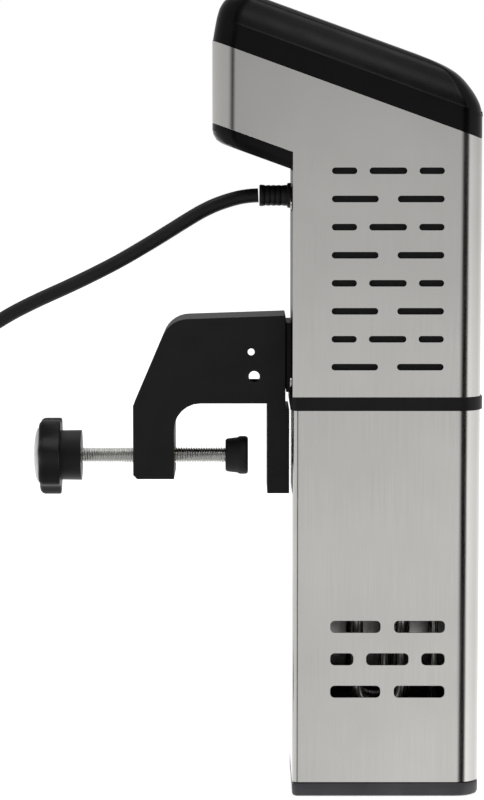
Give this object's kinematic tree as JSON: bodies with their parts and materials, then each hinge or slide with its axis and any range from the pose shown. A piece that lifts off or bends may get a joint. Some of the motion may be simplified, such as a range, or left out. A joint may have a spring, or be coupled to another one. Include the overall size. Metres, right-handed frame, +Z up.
{
  "type": "sous vide circulator",
  "caption": "Upright immersion heater and water circulator with a steel body, sloping head, slotted sleeve, screw clamp and mains cord.",
  "frame": {"origin": "middle of the base cap's flat underside, on which the device can stand", "axes": "+Z up along the tower, +X towards the front face, clamp and cord on the -X side"},
  "size_m": [0.3937, 0.1117, 0.393],
  "materials": {
    "brushed_steel": "vertical satin brushed stainless sheet",
    "bright_steel": "bright turned and plated steel",
    "heat_sink_aluminium": "extruded aluminium",
    "black_plastic": "fine moulded texture, satin black",
    "grey_plastic": "satin dark grey moulding",
    "cap_plastic": "light grey gloss moulding",
    "rubber": "matte black soft PVC or rubber",
    "black_glass": "black printed touch glass",
    "circuit_board": "green solder mask",
    "brass": "machined brass",
    "copper_winding": "varnished copper winding"
  },
  "bodies": {
    "housing": {"bracket_screw_1": "bright_steel", "bracket_screw_2": "bright_steel", "clamp_bracket": "black_plastic", "clamp_mount_plate": "black_plastic", "control_board": "circuit_board", "cord_coil": "rubber", "cord_gland": "rubber", "cord_tie": "rubber", "display_panel": "black_glass", "head_trim": "black_plastic", "heat_sink": "heat_sink_aluminium", "heater_element": "bright_steel", "heater_nut_1": "brass", "heater_nut_2": "brass", "level_probe_high": "bright_steel", "level_probe_low": "bright_steel", "mid_collar": "grey_plastic", "motor_bearing": "rubber", "motor_bracket": "bright_steel", "motor_can": "bright_steel", "motor_post_1": "brass", "motor_post_2": "brass", "motor_post_3": "brass", "motor_post_4": "brass", "panel_screw_1": "bright_steel", "panel_screw_2": "bright_steel", "panel_screw_3": "bright_steel", "panel_screw_4": "bright_steel", "plug_blade_1": "brass", "plug_blade_2": "brass", "plug_body": "rubber", "plug_earth_pin": "brass", "power_board": "circuit_board", "power_cord": "rubber", "power_transformer": "copper_winding", "rear_panel": "black_plastic", "shaft_seal": "rubber", "sleeve_seal": "rubber", "temperature_probe": "bright_steel", "threaded_insert": "brass", "top_cover": "black_plastic", "upper_housing": "brushed_steel", "vent_screen_left": "black_plastic", "vent_screen_right": "black_plastic"},
    "sleeve": {"lower_sleeve": "brushed_steel", "base_cap": "grey_plastic"},
    "rotor": {"drive_shaft": "bright_steel", "impeller": "black_plastic", "cooling_fan": "black_plastic"},
    "pad": {"pressure_pad": "rubber"},
    "screw": {"clamp_screw": "bright_steel", "clamp_knob": "black_plastic", "knob_cap": "cap_plastic"}
  },
  "joints": [
    {"name": "sleeve_slide", "type": "slide", "parent": "housing", "child": "sleeve", "axis": [0, 0, -1], "range_m": [0, 0.19]},
    {"name": "impeller_spin", "type": "hinge", "parent": "housing", "child": "rotor", "pos_m": [0.001, 0, 0.15], "axis": [0, 0, 1], "continuous": true},
    {"name": "pad_travel", "type": "slide", "parent": "housing", "child": "pad", "axis": [1, 0, 0], "range_m": [-0.0236, 0.0089]},
    {"name": "knob_turn", "type": "hinge", "parent": "pad", "child": "screw", "pos_m": [-0.12, 0, 0.1647], "axis": [1, 0, 0], "range_deg": [-6800, 2566]}
  ],
  "couplings": [
    {"joint": "knob_turn", "follows": "pad_travel", "rad_per_m": 5026.5}
  ]
}
